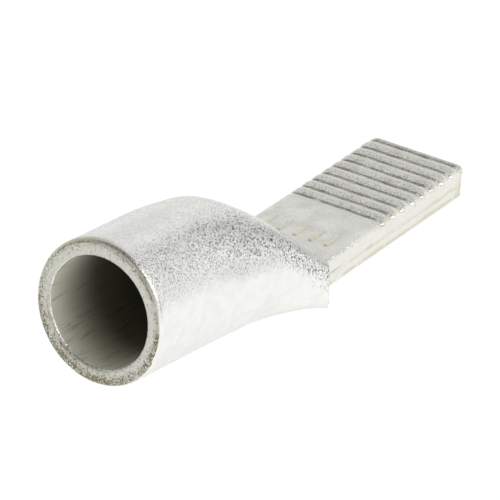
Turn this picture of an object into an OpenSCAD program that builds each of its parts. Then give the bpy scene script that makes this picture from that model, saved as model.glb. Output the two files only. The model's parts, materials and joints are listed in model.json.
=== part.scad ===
// Flat-pin cable lug, pressed and trimmed from one length of copper tube and tinned all over.
// Millimetres, +Z up. The lug lies at rest: the blade's underside is at z = 0, the blade points
// to +X, and the origin is under the middle of the lug's length and width.

/* [Barrel] */
// Outside diameter of the tube
barrel_d = 9; // [8:0.1:10.5]
// Inside diameter of the tube, where the stranded conductor goes
bore_d = 6.9; // [5.6:0.1:7.3]
// Depth of the round bore, from the mouth
bore_depth = 10; // [8:0.25:10.5]
// Length of the barrel that stays truly round, from the mouth
round_l = 6; // [4:0.25:7]
// Angle by which the barrel leans up from the blade
barrel_tilt = 6.5; // [5:0.25:7.5]
// Height of the mouth's lowest point over the surface that the lug lies on
mouth_lift = 1.05; // [0.8:0.05:1.3]
// Bevel round the outer edge of the mouth
rim_bevel = 0.3; // [0.1:0.05:0.4]
// Bevel round the bore's edge
bore_bevel = 0.2; // [0.1:0.05:0.3]

/* [Neck] */
// Length of the neck, from the round barrel to the flat blade
neck_l = 12.2; // [11.5:0.1:14]
// How far the press squashes the barrel on each side before the ramp
ovality = 0.38; // [0.2:0.02:0.5]
// Width over the two shoulders, where the neck is widest
shoulder_w = 11.8; // [10.6:0.1:13]
// Distance from the shoulders to the start of the flat blade
shoulder_back = 3.2; // [2.8:0.1:3.8]
// Length of the slanted trim that runs in from each shoulder to the blade
trim_l = 2.8; // [1.6:0.1:3]
// Squareness of the neck's section at the shoulders, where 2 is an ellipse
shoulder_square = 2.7; // [2.2:0.1:3.2]

/* [Blade] */
// Length of the flat blade
blade_l = 15; // [12:0.5:20]
// Width of the blade
blade_w = 6.9; // [6:0.1:7.6]
// Thickness of the blade, which is the tube's two walls pressed together
blade_t = 2; // [1.8:0.05:2.4]
// Rounding of the tip's two corners, seen from above
tip_r = 0.6; // [0.3:0.05:1]
// Rounding along the blade's long top edges
edge_r = 0.28; // [0.15:0.01:0.4]
// Rounding of the tip's top and bottom edges
tip_edge_r = 0.28; // [0.1:0.02:0.3]
// How far the tip's lower edge stays behind its upper one
tip_slope = 0.22; // [0.1:0.02:0.3]
// Height of the seam between the two walls, on the trimmed edges
seam_h = 0.08; // [0.04:0.01:0.14]
// Depth of that seam
seam_depth = 0.12; // [0.05:0.01:0.25]

/* [Grooves] */
// Number of grooves across the blade
groove_count = 9; // [5:1:11]
// Distance from one groove to the next
groove_pitch = 1.06; // [0.9:0.02:1.1]
// Distance from the floor of the last groove to the tip
groove_end = 0.5; // [0.44:0.02:0.8]
// Width of a groove between the tops of its two walls
groove_w = 0.36; // [0.3:0.02:0.44]
// Width of a groove at its floor
groove_floor = 0.06; // [0.04:0.02:0.14]
// How far a groove's floor stands off its middle, towards the tip
groove_lean = 0.04; // [0:0.01:0.06]
// Depth of a groove
groove_depth = 0.21; // [0.12:0.01:0.3]
// Length of the rounded crest that leads down into a groove from the mouth's side
crest_l = 0.24; // [0.1:0.02:0.3]
// How far that crest falls before the groove's wall starts
crest_drop = 0.035; // [0.01:0.005:0.06]
// How far the top of the groove's other wall lies under the blade's surface
foot_drop = 0.05; // [0.01:0.01:0.08]

/* [Hidden] */
tin = "#d9dad6";
barrel_r = barrel_d / 2;
bore_r = bore_d / 2;
wall = barrel_r - bore_r;
round_fn = 96;
over = 0.5;                    // how far a cutter runs past the face that it cuts
tuck = 0.3;                    // how far one stage of the tube reaches into the next
skin = 0.02;                   // a loft starts this far under the round face that it leaves
flat_gap = 0.12;               // height of the cavity where its walls have all but met
cavity_stop = 0.9;             // the cavity ends this far before the flat blade
cavity_blend = 0.2;            // share of the neck over which the cavity leaves the bore
squash_end = 0.34;             // share of the neck over which the press squashes the tube
sole_end = 0.56;               // share of the neck after which its sole is flat
press_power = 2.2;             // how late the ramp falls
spread_power = 2.8;            // how late the neck spreads
blade_square = 6;              // squareness of the section where the blade starts
foot_l = 0.2;                  // length of the gentle rise from a groove's wall to the surface
crest_steps = 4;
loft_rings = 44;
loft_sides = 72;
cavity_rings = 14;
cavity_sides = 40;

// Places along X, from where the barrel's axis meets the mouth
round_x = round_l * cos(barrel_tilt);
flat_x = round_x + neck_l;
tip_x = flat_x + blade_l;
shoulder_x = flat_x - shoulder_back;
trim_x = shoulder_x + trim_l;
squash_x = round_x + squash_end * neck_l;
sole_x = round_x + sole_end * neck_l;
bore_low_x = bore_depth * cos(barrel_tilt) - bore_r * sin(barrel_tilt);
bore_high_x = bore_depth * cos(barrel_tilt) + bore_r * sin(barrel_tilt);
cavity_full_x = bore_high_x + cavity_blend * neck_l;
cavity_end_x = flat_x - cavity_stop;
mouth_x = -(barrel_r - rim_bevel) * sin(barrel_tilt);
middle_x = (mouth_x + tip_x) / 2;
axis_rise = mouth_lift + barrel_r * cos(barrel_tilt);

// Smooth step from 0 at a to 1 at b, and a plain mix
function ease(x, a, b) = let (t = min(1, max(0, (x - a) / (b - a)))) t * t * (3 - 2 * t);
function mix(a, b, t) = a + (b - a) * t;
function flatten(lists) = [for (list = lists) for (item = list) item];

// The barrel's axis, its tilted radius and how far the press has squashed the tube
function axis_z(x) = axis_rise - x * tan(barrel_tilt);
function tilted(r) = r / cos(barrel_tilt);
function squash(x) = ovality * ease(x, round_x, squash_x);

// Top, sole, half width and squareness of the pressed tube before it is trimmed
function ramp(x) = ease(pow(max(0, (x - round_x) / neck_l), press_power), 0, 1);
function top_z(x) = mix(axis_z(x) + tilted(barrel_r) - squash(x), blade_t, ramp(x));
function sole_z(x) =
    (axis_z(x) - tilted(barrel_r) + squash(x)) * (1 - ease(x, round_x, sole_x));
function spread(x) = pow(max(0, (x - squash_x) / (shoulder_x - squash_x)), spread_power);
function half_w(x) =
    barrel_r + squash(x) + (shoulder_w / 2 - barrel_r - ovality) * spread(x);
function squareness(x) =
    x < shoulder_x ? mix(2, shoulder_square, ease(x, squash_x, shoulder_x))
                   : mix(shoulder_square, blade_square, ease(x, shoulder_x, flat_x));

// Half width that the trimming leaves, and the cavity inside the walls
function trimmed_w(x) =
    mix(shoulder_w / 2, blade_w / 2, min(1, max(0, (x - shoulder_x) / trim_l)));
function opened(x) = ease(x, bore_high_x, cavity_full_x);
function cavity_w(x) = mix(bore_r, min(half_w(x), trimmed_w(x)) - wall, opened(x));
function cavity_top(x) = mix(axis_z(x) + tilted(bore_r), top_z(x) - wall, opened(x));
function cavity_sole(x) = mix(axis_z(x) - tilted(bore_r), sole_z(x) + wall, opened(x));

// Where the tip's leaning end face stands at height z
function tip_end_x(z) = tip_x - tip_slope * (1 - z / (blade_t - tip_edge_r));

// One ring of a loft, square to X: a superellipse of half width w between heights lo and hi
function ring(x, w, lo, hi, n, sides) = [
    for (i = [0:sides - 1])
        let (c = cos(360 * i / sides), s = sin(360 * i / sides))
        [x, w * sign(c) * pow(abs(c), 2 / n), mix(lo, hi, (1 + sign(s) * pow(abs(s), 2 / n)) / 2)]
];

// A closed skin over rings that all have the same number of points
module skin_over(rings, sides) {
    last = len(rings) - 1;
    polyhedron(
        points = flatten(rings),
        faces = concat(
            [[for (i = [0:sides - 1]) i]],
            [for (k = [0:last - 1], i = [0:sides - 1])
                let (j = (i + 1) % sides, here = k * sides, next = here + sides)
                [here + i, next + i, next + j, here + j]],
            [[for (i = [sides - 1:-1:0]) last * sides + i]]
        ),
        convexity = 6
    );
}

// Places children on the barrel's axis, with the mouth at z = 0 and the tube along +Z
module on_axis() {
    translate([0, 0, axis_rise]) rotate([0, 90 + barrel_tilt, 0]) children();
}

// The round barrel, beveled at the mouth and cut off square to X where the neck starts
module barrel() {
    intersection() {
        on_axis() rotate_extrude($fn = round_fn) polygon([
            [0, 0], [barrel_r - rim_bevel, 0], [barrel_r, rim_bevel],
            [barrel_r, round_l + barrel_r], [0, round_l + barrel_r]
        ]);
        translate([-barrel_d, -barrel_d, -barrel_d])
            cube([barrel_d + round_x, 2 * barrel_d, 4 * barrel_d]);
    }
}

// The neck's outside, from the round barrel to the flat blade, before its sides are trimmed
module neck() {
    skin_over([
        for (k = [0:loft_rings])
            let (x = mix(round_x - tuck, flat_x, k / loft_rings),
                 under = skin * (1 - ease(x, round_x, squash_x)))
            ring(x, half_w(x) - under, sole_z(x) + under, top_z(x) - under,
                 squareness(x), loft_sides)
    ], loft_sides);
}

// The flat blade, wider than its final width, with the grooves across its top
module blade() {
    difference() {
        translate([flat_x - tuck, -blade_w / 2 - over, 0])
            cube([blade_l + tuck, blade_w + 2 * over, blade_t]);
        for (k = [0:groove_count - 1])
            translate([tip_x - groove_end - k * groove_pitch, 0, blade_t]) groove();
    }
}

// One groove across the blade, its floor's middle at x = 0 and the blade's surface at z = 0
module groove() {
    back = -groove_w / 2 - groove_lean;
    front = groove_w / 2 - groove_lean;
    rotate([90, 0, 0]) linear_extrude(blade_w + 4 * over, center = true) polygon([
        [back - crest_l, over],
        for (k = [0:crest_steps])
            let (t = k / crest_steps) [back - crest_l * (1 - t), -crest_drop * t * t],
        [-groove_floor / 2, -groove_depth], [groove_floor / 2, -groove_depth],
        [front, -foot_drop], [front + foot_l / 2, -foot_drop / 4],
        [front + foot_l, 0], [front + foot_l, over]
    ]);
}

// What the punch trims away on the left side: the slanted shoulder and the blade's side
module side_trim() {
    translate([0, 0, -over]) linear_extrude(barrel_d + 2 * over) polygon([
        [shoulder_x, shoulder_w], [shoulder_x, shoulder_w / 2], [trim_x, blade_w / 2],
        [tip_x + over, blade_w / 2], [tip_x + over, shoulder_w]
    ]);
}

// A bar that rounds a square edge lying along Z at the origin, the solid being at -X and -Y
module edge_round(r, l) {
    translate([-r, -r, -over]) difference() {
        cube([r + over, r + over, l + 2 * over]);
        translate([0, 0, -over]) cylinder(r = r, h = l + 4 * over, $fn = 32);
    }
}

// Rounding of the blade's long top edge on the left side
module long_edge() {
    translate([flat_x + over, blade_w / 2, blade_t]) rotate([90, 0, 90])
        edge_round(edge_r, blade_l);
}

// The seam where the tube's two walls meet, on the left edge of the blade
module side_seam() {
    translate([trim_x, blade_w / 2 - seam_depth, (blade_t - seam_h) / 2])
        cube([tip_x - trim_x + over, seam_depth + over, seam_h]);
}

// What leaves the tip's end face leaning back, with its upper and lower edges rounded
module tip_trim() {
    end_z = blade_t - tip_edge_r;
    translate([tip_x, blade_w, blade_t]) rotate([90, 0, 0]) edge_round(tip_edge_r, 2 * blade_w);
    translate([tip_end_x(tip_edge_r), -blade_w, 0]) rotate([-90, 0, 0])
        edge_round(tip_edge_r, 2 * blade_w);
    rotate([90, 0, 0]) linear_extrude(2 * blade_w, center = true) polygon([
        [tip_end_x(0), 0], [tip_end_x(end_z), end_z], [tip_x + over, end_z],
        [tip_x + over, -over], [tip_end_x(0), -over]
    ]);
    translate([tip_end_x(blade_t / 2) - seam_depth, -blade_w, (blade_t - seam_h) / 2])
        cube([seam_depth + over, 2 * blade_w, seam_h]);
}

// The conductor's bore and the cavity behind it, which flattens until the walls meet
module hollow() {
    on_axis() translate([0, 0, -over]) cylinder(r = bore_r, h = bore_depth + over, $fn = round_fn);
    on_axis() translate([0, 0, -over])
        cylinder(r1 = bore_r + bore_bevel + over, r2 = bore_r, h = bore_bevel + over, $fn = round_fn);
    skin_over([
        for (k = [0:cavity_rings])
            let (x = mix(bore_low_x - tuck, cavity_end_x, k / cavity_rings),
                 under = skin * (1 - opened(x)),
                 middle = (cavity_top(x) + cavity_sole(x)) / 2,
                 half = max(flat_gap, cavity_top(x) - cavity_sole(x)) / 2)
            ring(x, cavity_w(x) - under, middle - half + under, middle + half - under,
                 squareness(x), cavity_sides)
    ], cavity_sides);
}

module cable_lug() {
    color(tin) translate([-middle_x, 0, 0]) difference() {
        union() {
            barrel();
            neck();
            blade();
        }
        hollow();
        for (side = [0, 1]) mirror([0, side, 0]) {
            side_trim();
            long_edge();
            side_seam();
            translate([tip_x, blade_w / 2, -over]) edge_round(tip_r, blade_t + over);
        }
        tip_trim();
    }
}

cable_lug();
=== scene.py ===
import json
import math
import bpy
from mathutils import Matrix, Vector, noise


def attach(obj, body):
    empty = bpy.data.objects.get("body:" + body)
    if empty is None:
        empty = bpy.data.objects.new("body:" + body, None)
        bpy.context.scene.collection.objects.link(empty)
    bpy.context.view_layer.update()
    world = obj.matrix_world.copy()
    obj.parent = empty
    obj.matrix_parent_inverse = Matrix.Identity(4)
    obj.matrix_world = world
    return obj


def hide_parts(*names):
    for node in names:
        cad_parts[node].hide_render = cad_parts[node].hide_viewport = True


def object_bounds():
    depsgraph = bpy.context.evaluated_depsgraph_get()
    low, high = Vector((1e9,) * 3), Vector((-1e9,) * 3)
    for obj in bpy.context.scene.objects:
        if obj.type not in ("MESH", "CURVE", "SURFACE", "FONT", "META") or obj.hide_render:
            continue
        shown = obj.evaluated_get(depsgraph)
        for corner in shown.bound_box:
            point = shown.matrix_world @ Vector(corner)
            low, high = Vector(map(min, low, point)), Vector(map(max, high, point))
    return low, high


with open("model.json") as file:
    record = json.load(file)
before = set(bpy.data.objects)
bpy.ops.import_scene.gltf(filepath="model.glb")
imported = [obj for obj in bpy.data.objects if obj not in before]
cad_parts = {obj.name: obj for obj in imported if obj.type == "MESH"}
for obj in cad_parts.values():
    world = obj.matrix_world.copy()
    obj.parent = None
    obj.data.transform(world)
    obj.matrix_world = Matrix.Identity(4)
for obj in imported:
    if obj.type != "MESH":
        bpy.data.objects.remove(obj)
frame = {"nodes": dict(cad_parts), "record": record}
cadLow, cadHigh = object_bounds()
mm = 0.001
print("frame loaded:", ", ".join(frame["nodes"]))
# all lengths are in millimetres until the finished mesh is scaled to metres


def ease(x, a, b):
    t = min(1.0, max(0.0, (x - a) / (b - a)))
    return t * t * (3 - 2 * t)


def mix(a, b, t):
    return a + (b - a) * t


def softMin(a, b, blendWidth):
    return (a + b - math.hypot(a - b, blendWidth)) / 2


def hill(x, middle, halfWidth):
    return math.exp(-((x - middle) / halfWidth) ** 2)


def waver(x, y, z, size, seed):
    return noise.noise(Vector((x / size + seed, y / size - seed, z / size + 2 * seed)))


bore = next(m for m in frame["record"]["mounts"] if m["name"] == "conductor_bore")
mouthMiddle = Vector(bore["pos_m"]) / mm
inward = -Vector(bore["axis"]).normalized()
tilt = math.asin(-inward.z)

tube = {
    "barrelRadius": 4.5,
    "boreRadius": bore["dims"]["r_mm"],
    "boreDepth": 10.0,
    "roundLength": 6.0,
    "rimBevel": 0.3,
    "boreBevel": 0.2,
}
neck = {
    "length": 12.2,
    "ovality": 0.38,  # how far the press squashes the tube before the ramp
    "squashEnd": 0.34,
    "soleEnd": 0.56,
    "pressPower": 2.2,
    "spreadPower": 2.8,
    "shoulderWidth": 2 * cadHigh.y / mm,
    "shoulderBack": 3.2,
    "shoulderSquare": 2.7,
    "bladeSquare": 6.0,
    "trimLength": 2.8,
    "cornerBlend": 0.1,
}
blade = {
    "width": 6.9,
    "thickness": 2.0,
    "edgeRound": 0.24,
    "lowerRound": 0.12,
    "tipRound": 0.6,
    "tipEdgeRound": 0.28,
    "tipSlope": 0.22,  # how far the tip's lower edge stays behind its upper one
    "seamDepth": 0.04,  # most of the seam is closed, and only its line shows
    "seamHalf": 0.05,
}
grooves = {
    "count": 9,
    "pitch": 1.06,
    "depth": 0.155,
    "endGap": 0.5,  # from the floor of the last groove to the tip
    "floorEnd": 0.03,
    "wallEnd": 0.13,
    "footDrop": 0.07,  # how far the steep wall's top lies under the blade's plain level
    "crestStart": 0.6,
    "crestEnd": 0.84,
    "crestDrop": 0.035,
    "burr": 0.022,  # height of the ridge that the press raises along each crest
    "burrAt": 0.68,
    "burrHalf": 0.11,
    "unevenness": 0.25,  # share by which a groove's depth wanders
    "sideShift": 0.16,  # how far the pattern bends back at the blade's long edges
    "sideDroop": 0.1,
    "nearFade": 0.7,  # how much of a groove's depth is lost where it runs out at each side
    "farFade": 0.35,
    "notchDepth": 0.04,  # the flutes that the grooves leave in the blade's sides
    "notchHalf": 0.13,
    "swell": 0.06,
    "swellHalf": 0.14,
    "valleyDirt": 0.3,
    "landDirt": 0.12,
    # painted shade on the slope that leads up to each crest
    "leadDirt": 0.22,  # just before a crest
    # cream along each crest: wear, and painted highlight of the crest's rounded edge
    "crestWearAt": 0.8,
    "crestWearHalf": 0.19,
}
sheet = {
    "topCount": 78,
    "edgeCount": 7,
    "sideCount": 36,
    "lowerEdgeCount": 4,
    "soleCount": 40,
    "slit": 0.03,
}

roundEnd = tube["roundLength"] * math.cos(tilt)
flatStart = roundEnd + neck["length"]
tipEnd = cadHigh.x / mm - mouthMiddle.x
shoulderAt = flatStart - neck["shoulderBack"]
trimEnd = shoulderAt + neck["trimLength"]
squashEnd = roundEnd + neck["squashEnd"] * neck["length"]
soleEnd = roundEnd + neck["soleEnd"] * neck["length"]


def axisHeight(x):
    return mouthMiddle.z - x * math.tan(tilt)


def squash(x):
    return neck["ovality"] * ease(x, roundEnd, squashEnd)


def ramp(x):
    return ease(max(0.0, (x - roundEnd) / neck["length"]) ** neck["pressPower"], 0, 1)


def topHeight(x):
    tubeTop = axisHeight(x) + tube["barrelRadius"] / math.cos(tilt) - squash(x)
    return mix(tubeTop, blade["thickness"], ramp(x))


def soleHeight(x):
    tubeSole = axisHeight(x) - tube["barrelRadius"] / math.cos(tilt) + squash(x)
    return tubeSole * (1 - ease(x, roundEnd, soleEnd))


def halfWidth(x):
    start = tube["barrelRadius"] + squash(x)
    gain = neck["shoulderWidth"] / 2 - tube["barrelRadius"] - neck["ovality"]
    share = max(0.0, (x - squashEnd) / (shoulderAt - squashEnd))
    return start + gain * share ** neck["spreadPower"]


def squareness(x):
    if x < shoulderAt:
        return mix(2, neck["shoulderSquare"], ease(x, squashEnd, shoulderAt))
    return mix(neck["shoulderSquare"], neck["bladeSquare"], ease(x, shoulderAt, flatStart))


def trimmedHalf(x):
    share = (x - shoulderAt) / neck["trimLength"]
    slant = mix(neck["shoulderWidth"] / 2, blade["width"] / 2, share)
    outer = -softMin(-slant, -blade["width"] / 2, neck["cornerBlend"])
    return outer if x > shoulderAt - 1 else 2 * neck["shoulderWidth"]


def tipArc(x):
    # sine of the angle that the rounded corner has turned at x, seen from above
    start = tipEnd - blade["tipRound"]
    return min(1.0, max(0.0, (x - start) / blade["tipRound"]))


def ridgeAt(x, y):
    # which groove lies behind x, and how far behind, with the pattern's own wander
    edge = ease(abs(y), blade["width"] / 2 - 0.8, blade["width"] / 2)
    wander = 0.05 * waver(x * 0.3, y, 0, 1.3, 3.1) + 0.025 * waver(x, y, 0, 0.45, 8.4)
    along = x + grooves["sideShift"] * edge * edge + wander
    first = tipEnd - grooves["endGap"] - (grooves["count"] - 1) * grooves["pitch"]
    steps = (along - first) / grooves["pitch"]
    index = min(grooves["count"] - 1, math.floor(steps))
    return index, (steps - index) * grooves["pitch"], edge


def ridgeProfile(index, past):
    # height under the plain level, at a distance past a groove's floor
    depth, foot = grooves["depth"], grooves["footDrop"]
    if index < -1 or index == -1 and past < grooves["crestStart"]:
        return 0.0
    if past < grooves["wallEnd"]:
        return mix(-depth, -foot, ease(past, grooves["floorEnd"], grooves["wallEnd"]))
    if past < grooves["crestStart"]:
        left = (grooves["crestStart"] - past) / (grooves["crestStart"] - grooves["wallEnd"])
        return -foot * left ** 1.4
    if index == grooves["count"] - 1:
        return 0.0
    run = (past - grooves["crestStart"]) / (grooves["crestEnd"] - grooves["crestStart"])
    if run < 1:
        return -grooves["crestDrop"] * run * run
    fall = ease(past, grooves["crestEnd"] - 0.04, grooves["pitch"] - grooves["floorEnd"])
    return mix(-grooves["crestDrop"], -depth, fall)


def isGrooved(index, past):
    return index >= 0 or index == -1 and past > grooves["crestStart"]


def bladeTop(x, y):
    # height change, dirt with painted shade, and wear with painted highlight on the grooved top of
    # the blade
    index, past, edge = ridgeAt(x, y)
    runOut = ease(abs(y), blade["width"] / 2 - 0.6, blade["width"] / 2 - 0.1)
    left = 1 - runOut * (grooves["nearFade"] if y < 0 else grooves["farFade"])
    isCrest = -1 <= index < grooves["count"] - 1
    burr = grooves["burr"] * hill(past, grooves["burrAt"], grooves["burrHalf"]) * isCrest
    height = ridgeProfile(index, past) + burr
    height *= left * (1 + grooves["unevenness"] * waver(x, y, 0, 0.9, 5.2))
    height -= grooves["sideDroop"] * edge * edge
    toFloor = min(past, grooves["pitch"] - past)
    # darker in the groove floors: tarnish there, and painted shade where the groove hides light
    valley = hill(toFloor, 0, 0.11) * isGrooved(index, past)
    # the lands between the grooves are coloured a little darker
    land = ease(past, 0.08, 0.16) * ease(past, 0.62, 0.46) * (index >= 0)
    # painted shade on the slope that leads up to each crest
    lead = hill(past, 0.53, 0.1) * isCrest
    film = max(0.0, 0.1 + 0.35 * waver(x, y, 0, 1.1, 14.5))
    # cream on each crest: worn edge, and painted highlight where the rounded edge falls away
    wear = hill(past, grooves["crestWearAt"], grooves["crestWearHalf"]) * isCrest
    dirt = max(grooves["valleyDirt"] * valley, grooves["landDirt"] * land,
               grooves["leadDirt"] * lead)
    return height, max(film, left * dirt), wear


def sideFlute(x, y, z):
    # how far the sides are notched where a groove runs out, and swollen beside it
    index, past, edge = ridgeAt(x, y)
    if not isGrooved(index, past):
        return 0.0
    toFloor = past if past < grooves["pitch"] / 2 else past - grooves["pitch"]
    upper = ease(z, 1.5, 1.72)
    cut = grooves["notchDepth"] * hill(toFloor, 0.04, grooves["notchHalf"])
    swell = grooves["swell"] * hill(toFloor, 0.3, grooves["swellHalf"])
    return (swell - cut) * upper


mark = {
    "height": 0.09,
    "start": 19.75,  # along the blade, from the mouth
    "end": 20.75,
    "strokeHalf": 0.3,
    "bars": [2.3, 1.15, 0.0, -1.15, -2.3],  # places across the blade
}


def markRise(x, y):
    # plain raised bars where the blade is marked, soft as a worn stamp leaves them
    beyond = max(0.0, mark["start"] - x, x - mark["end"])
    best = min(math.hypot(beyond, y - bar) / mark["strokeHalf"] for bar in mark["bars"])
    return mark["height"] * ease(best, 1.0, 0.2)


def seamRecess(x, y, z):
    middle = blade["thickness"] / 2 - 0.06 + 0.05 * waver(x, y, 0, 2.0, 2.2)
    gape = 0.45 + 1.2 * waver(x, y, z, 1.1, 7.7)
    return blade["seamDepth"] * hill(z, middle, blade["seamHalf"]) * min(1, max(0.1, gape))


def sideStain(x, y, z):
    # yellowish film on the trimmed sides, thickest under the seam
    onSide = ease(x, shoulderAt + 0.5, trimEnd)
    cloud = 0.8 + 0.9 * waver(x, y, z, 1.6, 9.5) + 0.9 * waver(x, y, z, 0.3, 4.1)
    low = 1.1 * hill(z, 0.2, 0.17) * cloud
    below = 0.5 * hill(z, 0.84, 0.1) * cloud
    tip = 0.9 * hill(z, 0.45, 0.6) * ease(x, tipEnd - 1.4, tipEnd - 0.2)
    root = 0.9 * hill(z, 0.1, 0.2) * hill(x, trimEnd + 0.5, 0.5)
    return onSide * min(1.0, max(0.0, 0.28 + low + below + tip + root))


def ringPlan():
    # each point of a ring as (part, share, side), going round from the top's left edge
    plan = [("top", k / sheet["topCount"], 0) for k in range(sheet["topCount"] + 1)]
    plan += [("edge", (k + 1) / sheet["edgeCount"], 1) for k in range(sheet["edgeCount"])]
    plan += [("side", (k + 1) / sheet["sideCount"], 1) for k in range(sheet["sideCount"])]
    lower = sheet["lowerEdgeCount"]
    plan += [("lower", (k + 1) / lower, 1) for k in range(lower)]
    plan += [("sole", 1 - (k + 1) / sheet["soleCount"], 0) for k in range(sheet["soleCount"])]
    plan += [("lower", 1 - (k + 1) / lower, -1) for k in range(lower)]
    plan += [("side", 1 - (k + 1) / sheet["sideCount"], -1) for k in range(sheet["sideCount"])]
    plan += [("edge", 1 - (k + 1) / sheet["edgeCount"], -1) for k in range(sheet["edgeCount"])]
    return plan[:-1]


def pressedPoint(x, part, share, side, inset):
    # one point of the skin, with its dirt and painted shade, its wear and painted highlight, and
    # its stain
    w = halfWidth(x)
    n = squareness(x)
    low, high = soleHeight(x), topHeight(x)
    middle, half = (low + high) / 2, (high - low) / 2
    arc = tipArc(x)
    cut = trimmedHalf(x) - blade["tipRound"] * (1 - math.sqrt(1 - arc * arc))
    cut = min(cut, softMin(w, cut, neck["cornerBlend"])) if x > shoulderAt - 1 else w
    reach = min(cut, w * math.cos(math.radians(22)) ** (2 / n))
    isTrimmed = ease(x, shoulderAt + 0.1, trimEnd)
    edgeBand = blade["edgeRound"]
    lowerBand = blade["lowerRound"]
    tipRoll = blade["tipEdgeRound"]
    beyond = min(1.0, max(0.0, (x - (tipEnd - tipRoll)) / tipRoll))
    roll = tipRoll * (1 - math.sqrt(1 - beyond * beyond))
    dirt, wear, recess, stain = 0.0, 0.0, 0.0, 0.0

    def surface(y):
        return half * max(0.0, 1 - abs(y / w) ** n) ** (1 / n)

    if part in ("top", "edge"):
        droop, past = 0.0, 0.0
        y = mix(-1, 1, share) * (reach - edgeBand)
        if part == "edge":
            angle = share * math.pi / 2
            y = side * (reach - edgeBand + edgeBand * math.sin(angle))
            droop = edgeBand * (1 - math.cos(angle)) * isTrimmed
            past = share
        z = middle + surface(y) - droop - roll
        if x > flatStart:
            change, dirt, wear = bladeTop(x, y)
            rise = markRise(x, y)
            # painted shadow beside each bar, on its far side
            shadow = max(0.0, markRise(x - 0.13, y + 0.09) - rise)
            z += change * ease(x, flatStart, flatStart + 0.5) + rise
            # cream over each bar: stamp wear, and painted light that keeps its slopes light
            wear = max(wear, ease(rise / mark["height"], 0, 0.5))
            dirt = max(dirt, 0.9 * shadow / mark["height"])
            # painted shade: a dark band where the tip's top edge rolls over
            dirt = max(dirt, 0.65 * ease(x, tipEnd - 0.42, tipEnd - 0.14))
        jagged = mix(0.13, 0.03, ease(x, trimEnd + 2.5, trimEnd + 6))
        z += jagged * isTrimmed * past * waver(x, y, z, 0.16, 1.7)
        if part == "edge":
            y += side * past * sideFlute(x, y, 2) * isTrimmed
    elif part == "side":
        s = 1 - 2 * share
        top = surface(reach) - edgeBand * isTrimmed
        if x > flatStart:
            top += bladeTop(x, side * reach)[0]
        bottom = -surface(reach) + lowerBand * isTrimmed
        offset = mix(bottom, top, (0.55 * s + 0.45 * s ** 3 + 1) / 2)
        z = middle + offset
        y = side * min(cut, w * max(0.0, 1 - abs(offset / half) ** n) ** (1 / n))
        y += side * 0.02 * waver(x, 3 * side, z, 0.6, 6.0) * isTrimmed
        y += side * 0.035 * isTrimmed * ease(share, 0.3, 0) * waver(x, y, z, 0.16, 1.7)
        if x > flatStart:
            y += side * sideFlute(x, y, z)
    else:
        droop = 0.0
        y = mix(-1, 1, share) * (reach - lowerBand)
        if part == "lower":
            angle = (1 - share) * math.pi / 2
            y = side * (reach - lowerBand + lowerBand * math.sin(angle))
            droop = lowerBand * (1 - math.cos(angle)) * isTrimmed
        z = middle - surface(y) + droop + roll
    if inset > 0:
        z = mix(z, middle, inset)
    if part == "side" or inset > 0:
        recess = seamRecess(x, y, z) * ease(x, shoulderAt, shoulderAt + 0.8)
        dirt = max(dirt, 0.35 * recess / blade["seamDepth"])
        stain = sideStain(x, y, z)
        # darker toward the tip on the sides: brown stain, and painted shade of the rounded corner
        dirt = max(dirt, 0.4 * ease(x, tipEnd - 0.9, tipEnd - 0.1) * hill(z, 1.0, 0.9))
    turned = 1.0 if inset > 0 else arc
    if part == "side":
        y -= side * recess * math.sqrt(1 - turned * turned)
    upright = blade["thickness"] - tipRoll
    lean = blade["tipSlope"] * max(0.0, 1 - z / upright) * ease(x, tipEnd - 1.2, tipEnd)
    px = x - recess * turned - lean
    if x < roundEnd:
        # the rings lean with the mouth and stand upright where the neck starts
        follow = 1 - ease(x, 0, roundEnd)
        px += follow * (z - axisHeight(x)) * math.sin(tilt) * math.cos(tilt)
        z -= (px - x) * math.tan(tilt)
    return Vector((px, y, z)), dirt, wear, stain


def stations():
    # where the rings stand along the lug, and how far the last ones close the tip
    places = []

    def run(start, end, count):
        places.extend((mix(start, end, k / count), 0.0) for k in range(count))

    run(tube["rimBevel"] / math.cos(tilt), roundEnd, 16)
    run(roundEnd, shoulderAt - 0.4, 40)
    run(shoulderAt - 0.4, shoulderAt + 0.4, 16)
    run(shoulderAt + 0.4, flatStart, 22)
    markStart, markEnd = mark["start"] - 0.4, mark["end"] + 0.4
    run(flatStart, markStart, 24)
    run(markStart, markEnd, 44)
    firstGroove = tipEnd - grooves["endGap"] - (grooves["count"] - 1) * grooves["pitch"] - 0.5
    run(markEnd, firstGroove, 20)
    cornerStart = tipEnd - blade["tipRound"]
    run(firstGroove, cornerStart, 170)
    turns = 16
    places.extend((cornerStart + blade["tipRound"] * math.sin(k / turns * math.pi / 2), 0.0)
                  for k in range(turns + 1))
    for k in range(1, 12):
        places.append((tipEnd, min(1 - sheet["slit"], math.sin(k / 11 * math.pi / 2))))
    return places


def deselectAll():
    if bpy.context.object and bpy.context.object.mode != "OBJECT":
        bpy.ops.object.mode_set(mode="OBJECT")
    bpy.ops.object.select_all(action="DESELECT")


def setAttribute(mesh, name, values):
    layer = mesh.attributes.get(name) or mesh.attributes.new(name, "FLOAT", "POINT")
    layer.data.foreach_set("value", values)


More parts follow.
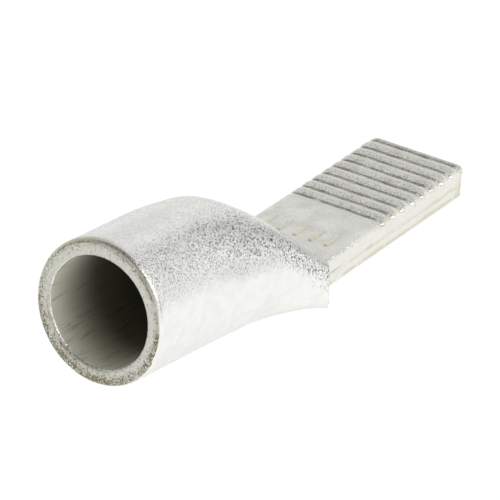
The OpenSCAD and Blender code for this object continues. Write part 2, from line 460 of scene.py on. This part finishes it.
def makeSkin():
    # a flat sheet is rolled to a tube and pressed; its rings keep their order
    deselectAll()
    plan = ringPlan()
    rings = stations()
    bpy.ops.mesh.primitive_grid_add(
        x_subdivisions=len(rings) - 1, y_subdivisions=len(plan), size=2, location=(0, 0, 0))
    skin = bpy.context.object
    skin.name = "tinnedLug"
    mesh = skin.data
    marks = {name: [0.0] * len(mesh.vertices) for name in ("dirt", "wear", "stain")}
    firstRing = [None] * len(plan)
    for vertex in mesh.vertices:
        ring = round((vertex.co.x + 1) / 2 * (len(rings) - 1))
        place = round((vertex.co.y + 1) / 2 * len(plan)) % len(plan)
        x, inset = rings[ring]
        vertex.co, *values = pressedPoint(x, *plan[place], inset)
        for name, value in zip(marks, values):
            marks[name][vertex.index] = value
        if ring == 0:
            firstRing[place] = vertex.co.copy()
    for name, values in marks.items():
        setAttribute(mesh, name, values)
    print("skin pressed:", len(rings), "rings of", len(plan), "points")
    return skin, firstRing


def mouthProfile():
    # (depth behind the mouth's plane, radius) from the outer wall over the rim to the bore's end
    outer, inner = tube["barrelRadius"], tube["boreRadius"]
    rim, edge = tube["rimBevel"], tube["boreBevel"]
    profile = []
    for k in range(1, 7):
        a = k / 6 * math.pi / 2
        profile.append((rim * (1 - math.sin(a)), outer - rim * (1 - math.cos(a))))
    for k in range(1, 9):
        profile.append((0.0, mix(outer - rim, inner + edge, k / 8)))
    for k in range(1, 6):
        a = k / 5 * math.pi / 2
        profile.append((edge * (1 - math.cos(a)), inner + edge * (1 - math.sin(a))))
    for k in range(1, 17):
        profile.append((mix(edge, tube["boreDepth"], k / 16), inner))
    return profile


cavity = {"stop": 0.9, "rings": 18, "gap": 0.12}


def cavityRing(points, k):
    # sets a ring of the cavity, which narrows behind the bore until its walls have all but met
    inner = tube["boreRadius"]
    wall = tube["barrelRadius"] - inner
    boreEnd = tube["boreDepth"] * math.cos(tilt)
    x = mix(boreEnd, flatStart - cavity["stop"], k / cavity["rings"])
    opened = ease(x, boreEnd, boreEnd + 0.2 * neck["length"])
    low = mix(axisHeight(x) - inner / math.cos(tilt), soleHeight(x) + wall, opened)
    high = mix(axisHeight(x) + inner / math.cos(tilt), topHeight(x) - wall, opened)
    half = max(cavity["gap"], high - low) / 2
    wide = mix(inner, min(halfWidth(x), trimmedHalf(x)) - wall, opened)
    lean = 1 - ease(k, 0, 4)
    power = 2 / squareness(x)
    for vertex, angle in points:
        c, s = math.cos(angle), math.sin(angle)
        y = wide * math.copysign(abs(c) ** power, c)
        z = (low + high) / 2 + half * math.copysign(abs(s) ** power, s)
        vertex.co = (x + lean * s * inner * math.sin(tilt), y, z)


def makeMouth(firstRing):
    deselectAll()
    bpy.ops.mesh.primitive_circle_add(vertices=len(firstRing), radius=tube["barrelRadius"])
    mouth = bpy.context.object
    for vertex, place in zip(mouth.data.vertices, firstRing):
        vertex.co = place
    bpy.ops.object.mode_set(mode="EDIT")
    bpy.ops.mesh.select_mode(type="EDGE")
    bpy.ops.mesh.select_all(action="SELECT")
    depth, radius = tube["rimBevel"], tube["barrelRadius"]
    middle = Vector((0, 0, mouthMiddle.z))
    for newDepth, newRadius in mouthProfile():
        step = inward * (newDepth - depth)
        bpy.ops.mesh.extrude_edges_move(TRANSFORM_OT_translate={"value": step})
        bpy.ops.transform.resize(
            value=(newRadius / radius,) * 3, center_override=middle + inward * newDepth)
        depth, radius = newDepth, newRadius
    upward = Vector((math.sin(tilt), 0, math.cos(tilt)))
    boreEnd = middle + inward * depth
    angles = []
    for k in range(1, cavity["rings"] + 1):
        bpy.ops.mesh.extrude_edges_move(TRANSFORM_OT_translate={"value": (0, 0, 0)})
        bpy.ops.object.mode_set(mode="OBJECT")
        picked = [v for v in mouth.data.vertices if v.select]
        if k == 1:
            angles = [math.atan2((v.co - boreEnd).dot(upward), v.co.y) for v in picked]
        cavityRing(list(zip(picked, angles)), k)
        bpy.ops.object.mode_set(mode="EDIT")
    bpy.ops.mesh.edge_face_add()
    bpy.ops.object.mode_set(mode="OBJECT")
    depths = [(v.co - middle).dot(inward) for v in mouth.data.vertices]
    reaches = [(v.co - middle - inward * d).length for v, d in zip(mouth.data.vertices, depths)]
    # inside the bore the value rises past 1 with depth, which darkens the wall as painted shade
    isInner = [ease(d, 0.6, 5) + 1 if r < tube["boreRadius"] + 0.02 or d > 1 else 0.0
               for r, d in zip(reaches, depths)]
    setAttribute(mouth.data, "inner", isInner)
    print("mouth, bore and cavity drawn in")
    return mouth


def joinLug(skin, mouth):
    deselectAll()
    mouth.select_set(True)
    skin.select_set(True)
    bpy.context.view_layer.objects.active = skin
    bpy.ops.object.join()
    bpy.ops.object.mode_set(mode="EDIT")
    bpy.ops.mesh.select_mode(type="VERT")
    bpy.ops.mesh.select_all(action="SELECT")
    bpy.ops.mesh.remove_doubles(threshold=0.00001)
    bpy.ops.mesh.select_all(action="DESELECT")
    bpy.ops.mesh.select_non_manifold()
    bpy.ops.mesh.edge_face_add()  # closes the slit in the tip's seam
    bpy.ops.mesh.select_all(action="SELECT")
    bpy.ops.mesh.normals_make_consistent(inside=False)
    bpy.ops.object.mode_set(mode="OBJECT")
    skin.data.transform(Matrix.Scale(mm, 4) @ Matrix.Translation((mouthMiddle.x, 0, 0)))
    print("lug joined:", len(skin.data.vertices), "points")
    return skin


skin, firstRing = makeSkin()
lug = joinLug(skin, makeMouth(firstRing))


def newMaterial(name):
    material = bpy.data.materials.new(name)
    material.use_nodes = True
    nodes, links = material.node_tree.nodes, material.node_tree.links
    return material, nodes, links, nodes["Principled BSDF"]


def addNode(nodes, kind, **inputs):
    node = nodes.new(kind)
    for key, value in inputs.items():
        if hasattr(node, key):
            setattr(node, key, value)
        else:
            node.inputs[key.replace("_", " ")].default_value = value
    return node


def mixColours(nodes, links, share, first, second, blend="MIX"):
    # first and second are colours or sockets
    mixer = nodes.new("ShaderNodeMix")
    mixer.data_type = "RGBA"
    mixer.blend_type = blend
    for name, value in (("Factor", share), ("A", first), ("B", second)):
        socket = next(s for s in mixer.inputs if s.name == name and s.enabled)
        if isinstance(value, bpy.types.NodeSocket):
            links.new(value, socket)
        else:
            socket.default_value = value
    return next(s for s in mixer.outputs if s.enabled)


def mapRange(nodes, links, value, fromLow, fromHigh, toLow, toHigh):
    node = addNode(nodes, "ShaderNodeMapRange", From_Min=fromLow, From_Max=fromHigh,
                   To_Min=toLow, To_Max=toHigh)
    links.new(value, node.inputs["Value"])
    return node.outputs["Result"]


def combine(nodes, links, operation, *values):
    # values are numbers or sockets
    node = addNode(nodes, "ShaderNodeMath", operation=operation)
    for socket, value in zip(node.inputs, values):
        if isinstance(value, bpy.types.NodeSocket):
            links.new(value, socket)
        else:
            socket.default_value = value
    return node.outputs["Value"]


def readAttribute(nodes, name):
    return addNode(nodes, "ShaderNodeAttribute", attribute_name=name).outputs["Fac"]


tin = {
    "bright": (0.905, 0.9, 0.87, 1),
    "dull": (0.86, 0.855, 0.83, 1),
    # the grain's dark pits; how much they show follows the skin's tilt, as painted shade
    "pit": (0.06, 0.07, 0.07, 1),
    # cream for worn edges and for painted highlights
    "cream": (0.92, 0.905, 0.76, 1),
    # grime and painted shade share this colour
    "grime": (0.5, 0.475, 0.36, 1),
    "stain": (0.68, 0.65, 0.52, 1),
    "grazing": (0.88, 0.895, 0.88, 1),
    "grainScale": 8800.0,
    "cloudScale": 1400.0,
    "pitEdge": (0.41, 0.47),  # where the grain starts and ends to be a pit
    "grainHeight": 0.00005,  # in metres, as the shader takes it
    "waveHeight": 0.00002,
    "polish": (0.15, 0.22),
    "wornRoughness": 0.4,
    "wornMetal": 0.45,
}


def tinSkin():
    material, nodes, links, shader = newMaterial("tinSkin")
    shader.inputs["Specular Tint"].default_value = tin["grazing"]
    place = nodes.new("ShaderNodeTexCoord")
    grain = addNode(nodes, "ShaderNodeTexNoise", Scale=tin["grainScale"], Detail=2.0,
                    Roughness=0.6, Distortion=0.8)
    broad = addNode(nodes, "ShaderNodeTexNoise", Scale=tin["cloudScale"], Detail=3.0)
    for texture in (grain, broad):
        links.new(place.outputs["Object"], texture.inputs["Vector"])
    dirt, wear, stain, blast = (
        readAttribute(nodes, name) for name in ("dirt", "wear", "stain", "blast"))
    pits = mapRange(nodes, links, grain.outputs["Fac"], *tin["pitEdge"], 1.0, 0.0)
    # painted shade: the pits' dark colour is weighted by the skin's tilt and place, which also
    # sets the grain's bump
    pitShade = combine(nodes, links, "MULTIPLY", pits, blast)
    clouds = mapRange(nodes, links, broad.outputs["Fac"], 0.4, 0.65, 0.0, 1.0)
    plated = mixColours(nodes, links, clouds, tin["bright"], tin["dull"])
    ground = mixColours(nodes, links, pitShade, plated, tin["pit"])
    stained = mixColours(nodes, links, stain, ground, tin["stain"])
    worn = mixColours(nodes, links, wear, stained, tin["cream"])
    colour = mixColours(nodes, links, dirt, worn, tin["grime"])
    links.new(colour, shader.inputs["Base Color"])
    rough = mapRange(nodes, links, broad.outputs["Fac"], 0.3, 0.7, *tin["polish"])
    wornRough = mapRange(nodes, links, wear, 0.0, 1.0, 0.0, tin["wornRoughness"])
    links.new(combine(nodes, links, "MAXIMUM", rough, wornRough), shader.inputs["Roughness"])
    links.new(mapRange(nodes, links, wear, 0.0, 1.0, 1.0, tin["wornMetal"]),
              shader.inputs["Metallic"])
    wave = addNode(nodes, "ShaderNodeBump", Distance=tin["waveHeight"], Strength=1.0)
    links.new(broad.outputs["Fac"], wave.inputs["Height"])
    bump = addNode(nodes, "ShaderNodeBump", Distance=tin["grainHeight"])
    links.new(wave.outputs["Normal"], bump.inputs["Normal"])
    links.new(mapRange(nodes, links, blast, 0.0, 1.0, 0.25, 1.0), bump.inputs["Strength"])
    links.new(grain.outputs["Fac"], bump.inputs["Height"])
    links.new(bump.outputs["Normal"], shader.inputs["Normal"])
    return material


rim = {
    "clean": (0.7, 0.71, 0.65, 1),
    "speck": (0.16, 0.15, 0.1, 1),
    "stain": (0.4, 0.36, 0.24, 1),
    "copper": (0.2, 0.1, 0.06, 1),
    "grainScale": 9500.0,
    "stainScale": 2900.0,
    "gritReach": -0.17,  # how far grit lowers the level under which a speck shows
    "speckEdge": (0.3, 0.37),
    "grainHeight": 0.00004,  # in metres
    "metal": 0.85,
    "roughness": 0.4,
}


def sawnRim():
    material, nodes, links, shader = newMaterial("sawnRim")
    shader.inputs["Metallic"].default_value = rim["metal"]
    shader.inputs["Roughness"].default_value = rim["roughness"]
    place = nodes.new("ShaderNodeTexCoord")
    grain = addNode(nodes, "ShaderNodeTexNoise", Scale=rim["grainScale"], Detail=3.0,
                    Roughness=0.7)
    patch = addNode(nodes, "ShaderNodeTexNoise", Scale=rim["stainScale"], Detail=4.0,
                    Roughness=0.7)
    for texture in (grain, patch):
        links.new(place.outputs["Object"], texture.inputs["Vector"])
    grit, bare = readAttribute(nodes, "grit"), readAttribute(nodes, "bare")
    pocked = combine(nodes, links, "MULTIPLY_ADD", grit, rim["gritReach"], grain.outputs["Fac"])
    specks = mapRange(nodes, links, pocked, *rim["speckEdge"], 1.0, 0.0)
    patches = mapRange(nodes, links, patch.outputs["Fac"], 0.4, 0.6, 0.1, 1.0)
    stains = combine(nodes, links, "MULTIPLY", grit, patches)
    stained = mixColours(nodes, links, stains, rim["clean"], rim["stain"])
    sawn = mixColours(nodes, links, specks, stained, rim["speck"])
    links.new(mixColours(nodes, links, bare, sawn, rim["copper"]), shader.inputs["Base Color"])
    bump = addNode(nodes, "ShaderNodeBump", Distance=rim["grainHeight"], Strength=1.0)
    links.new(grain.outputs["Fac"], bump.inputs["Height"])
    links.new(bump.outputs["Normal"], shader.inputs["Normal"])
    return material


inside = {
    "clean": (0.74, 0.74, 0.63, 1),
    # painted shade far down the bore, partly a darker wall there
    "deep": (0.15, 0.145, 0.1, 1),
    "scratch": 0.62,  # brightness left in a scratch
    "scratchScale": 4200.0,
    "scratchStretch": 0.05,
    "scratchHeight": 0.00002,  # in metres
    "metal": 0.1,
    "roughness": 0.6,
}


def drawnBore():
    material, nodes, links, shader = newMaterial("drawnBore")
    shader.inputs["Metallic"].default_value = inside["metal"]
    shader.inputs["Roughness"].default_value = inside["roughness"]
    place = nodes.new("ShaderNodeTexCoord")
    turn = nodes.new("ShaderNodeMapping")
    turn.inputs["Rotation"].default_value = (0, -tilt, 0)
    turn.inputs["Scale"].default_value = (inside["scratchStretch"], 1, 1)
    links.new(place.outputs["Object"], turn.inputs["Vector"])
    scratch = addNode(nodes, "ShaderNodeTexNoise", Scale=inside["scratchScale"], Detail=4.0,
                      Roughness=0.6)
    links.new(turn.outputs["Vector"], scratch.inputs["Vector"])
    # the attribute runs from 1 at the mouth to 2 far down the bore, and is 0 outside it
    deep = mapRange(nodes, links, readAttribute(nodes, "inner"), 1.0, 2.0, 0.0, 1.0)
    # painted shade: the wall darkens deeper in the bore, mostly for light that does not reach it
    wall = mixColours(nodes, links, deep, inside["clean"], inside["deep"])
    lines = mapRange(nodes, links, scratch.outputs["Fac"], 0.3, 0.46, inside["scratch"], 1.0)
    links.new(mixColours(nodes, links, 1.0, wall, lines, "MULTIPLY"),
              shader.inputs["Base Color"])
    bump = addNode(nodes, "ShaderNodeBump", Distance=inside["scratchHeight"], Strength=0.6)
    links.new(scratch.outputs["Fac"], bump.inputs["Height"])
    links.new(bump.outputs["Normal"], shader.inputs["Normal"])
    return material


def mouthMarks(point):
    # copper left bare along the mouth's two edges, grit on its face, and painted shade on its
    # bevel
    along = (point - mouthMiddle).dot(inward)
    if along > 0.45:
        return 0.0, 0.0, 0.0
    arm = point - mouthMiddle - inward * along
    upward = Vector((math.sin(tilt), 0, math.cos(tilt)))
    # 0 is the near side, 90 the top, 180 the far side and 270 the bottom
    turned = math.degrees(math.atan2(arm.dot(upward), -arm.y)) % 360
    ragged = 0.5 + 1.2 * waver(point.x, point.y, point.z, 0.35, 12.0)
    outer = hill(arm.length, tube["barrelRadius"] - 0.31, 0.06) * hill(turned, 38, 34)
    inner = hill(arm.length, tube["boreRadius"] + 0.22, 0.06) * hill(turned, 218, 26)
    bare = min(1.0, max(0.0, 1.5 * ragged * max(outer, inner)))
    outward = ease(arm.length, 3.8, 4.15)
    low = max(hill(turned, 250, 62), 0.8 * hill(turned, 350, 35) * outward)
    grit = 0.2 + 0.3 * outward + 0.75 * low * mix(0.55, 1, outward)
    bevel = ease(arm.length, tube["barrelRadius"] - 0.34, tube["barrelRadius"] - 0.22)
    # painted shade on the bevel where it turns upward, and darker at the lower left; it raises the
    # grit there too
    dirt = bevel * ease(along, 0.45, 0.3) * max(hill(turned, 118, 42), 0.7 * hill(turned, 245, 50))
    return bare, min(1.0, max(grit, 0.9 * dirt)), dirt


def dressLug(lug):
    mesh = lug.data
    mouth = mouthMiddle * mm
    # painted shade in the grain, set from the skin's tilt, together with the strength of the
    # grain's bump
    grainAndShadeList = []  # how much the dark grain shows, from the skin's tilt and its place
    for vertex in mesh.vertices:
        x = vertex.co.x / mm - mouthMiddle.x
        late = ease(x, shoulderAt - 4.5, shoulderAt)
        up = vertex.normal.z
        onNeck = ease(up, mix(0.16, -0.15, late), mix(0.72, 0.28, late))
        onNeck *= 1 - mix(0.75, 0.85, late) * ease(up, mix(0.85, 0.5, late), mix(0.98, 0.76, late))
        onNeck *= mix(0.6, 1, ease(x, 3, 11))
        index, past, edge = ridgeAt(x, vertex.co.y / mm)
        onLand = (index >= 0) * ease(past, 0.05, 0.15) * ease(past, 0.6, 0.42)
        onBlade = ease(up, 0.5, 0.9) * (0.12 + 0.36 * onLand)
        grainAndShadeList.append(mix(onNeck, onBlade, ease(x, flatStart - 1.5, flatStart)))
    setAttribute(mesh, "blast", grainAndShadeList)
    marks = [mouthMarks(vertex.co / mm) for vertex in mesh.vertices]
    setAttribute(mesh, "bare", [bare for bare, grit, dirt in marks])
    setAttribute(mesh, "grit", [grit for bare, grit, dirt in marks])
    dirtAndShadeData = mesh.attributes["dirt"].data
    setAttribute(mesh, "dirt", [max(old.value, new[2]) for old, new in zip(dirtAndShadeData, marks)])
    for maker in (tinSkin, sawnRim, drawnBore):
        mesh.materials.append(maker())
    inner = mesh.attributes["inner"].data
    for polygon in mesh.polygons:
        along = (polygon.center - mouth).dot(inward) / mm
        away = ((polygon.center - mouth) - inward * along * mm).length / mm
        if all(inner[v].value > 0.5 for v in polygon.vertices):
            polygon.material_index = 2
        elif along < 0.1 and tube["boreRadius"] + 0.06 < away < tube["barrelRadius"] - 0.12:
            polygon.material_index = 1
    deselectAll()
    lug.select_set(True)
    bpy.context.view_layer.objects.active = lug
    bpy.ops.object.shade_smooth_by_angle(angle=math.radians(50))
    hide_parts("cable_lug")
    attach(lug, "root")
    print("lug dressed:", len(mesh.polygons), "faces")


dressLug(lug)


studio = {
    "floorSize": 3.0,
    "floorColour": (0.12, 0.12, 0.12, 1),
    "floorGlow": 0.95,  # keeps the floor white round the lug
    "cameraPlace": (-0.25679, -0.18108, 0.17585),
    "cameraTurn": (61.1, -0.355, -54.483),
    "lens": 432.0,
    # brightness of the surroundings by height, from the floor's level up to the zenith
    "heights": [(0.0, 0.95), (0.3, 0.94), (0.52, 0.94), (0.7, 0.87), (0.85, 0.5), (1.0, 0.3)],
    # darker and brighter things around: azimuth, elevation, inner and outer radius, brightness
    "shades": [(160, 55, 20, 60, 0.42), (215, 29, 8, 30, 0.5), (-3, 12, 5, 20, 0.45),
               (-86, 42, 8, 23, 4.5), (40, 29, 4, 24, 0.82), (-72, 4, 6, 30, 0.45)],
}


def makeStudio():
    deselectAll()
    bpy.ops.mesh.primitive_plane_add(size=studio["floorSize"], location=(0, 0, -0.00002))
    floor = bpy.context.object
    floor.name = "floor"
    material, nodes, links, shader = newMaterial("paleFloor")
    shader.inputs["Base Color"].default_value = studio["floorColour"]
    shader.inputs["Roughness"].default_value = 0.9
    shader.inputs["Specular IOR Level"].default_value = 0.0
    shader.inputs["Emission Color"].default_value = (1, 1, 1, 1)
    shader.inputs["Emission Strength"].default_value = studio["floorGlow"]
    floor.data.materials.append(material)

    cameraData = bpy.data.cameras.new("camera")
    camera = bpy.data.objects.new("camera", cameraData)
    bpy.context.scene.collection.objects.link(camera)
    camera.location = studio["cameraPlace"]
    camera.rotation_euler = [math.radians(a) for a in studio["cameraTurn"]]
    cameraData.lens = studio["lens"]
    cameraData.sensor_width = 36.0
    cameraData.clip_start, cameraData.clip_end = 0.01, 20.0
    bpy.context.scene.camera = camera
    bpy.context.scene.view_settings.view_transform = "Standard"

    world = bpy.data.worlds.new("studio")
    bpy.context.scene.world = world
    world.use_nodes = True
    nodes, links = world.node_tree.nodes, world.node_tree.links
    background = nodes["Background"]
    place = nodes.new("ShaderNodeTexCoord")
    split = nodes.new("ShaderNodeSeparateXYZ")
    links.new(place.outputs["Generated"], split.inputs["Vector"])
    ramp = nodes.new("ShaderNodeValToRGB")
    stops = studio["heights"]
    elements = ramp.color_ramp.elements
    elements[0].position, elements[0].color = stops[0][0], (stops[0][1],) * 3 + (1,)
    elements[1].position, elements[1].color = stops[-1][0], (stops[-1][1],) * 3 + (1,)
    for position, grey in stops[1:-1]:
        elements.new(position).color = (grey, grey, grey, 1)
    links.new(split.outputs["Z"], ramp.inputs["Fac"])
    light = ramp.outputs["Color"]
    for azimuth, elevation, inner, outer, grey in studio["shades"]:
        a, e = math.radians(azimuth), math.radians(elevation)
        toward = addNode(nodes, "ShaderNodeVectorMath", operation="DOT_PRODUCT")
        toward.inputs[1].default_value = (
            math.cos(a) * math.cos(e), math.sin(a) * math.cos(e), math.sin(e))
        links.new(place.outputs["Generated"], toward.inputs[0])
        shade = addNode(nodes, "ShaderNodeMapRange", interpolation_type="SMOOTHSTEP",
                        From_Min=math.cos(math.radians(outer)),
                        From_Max=math.cos(math.radians(inner)), To_Min=1.0, To_Max=grey)
        links.new(toward.outputs["Value"], shade.inputs["Value"])
        light = mixColours(nodes, links, 1.0, light, shade.outputs["Result"], "MULTIPLY")
    links.new(light, background.inputs["Color"])
    background.inputs["Strength"].default_value = 1.0
    print("studio set")


makeStudio()
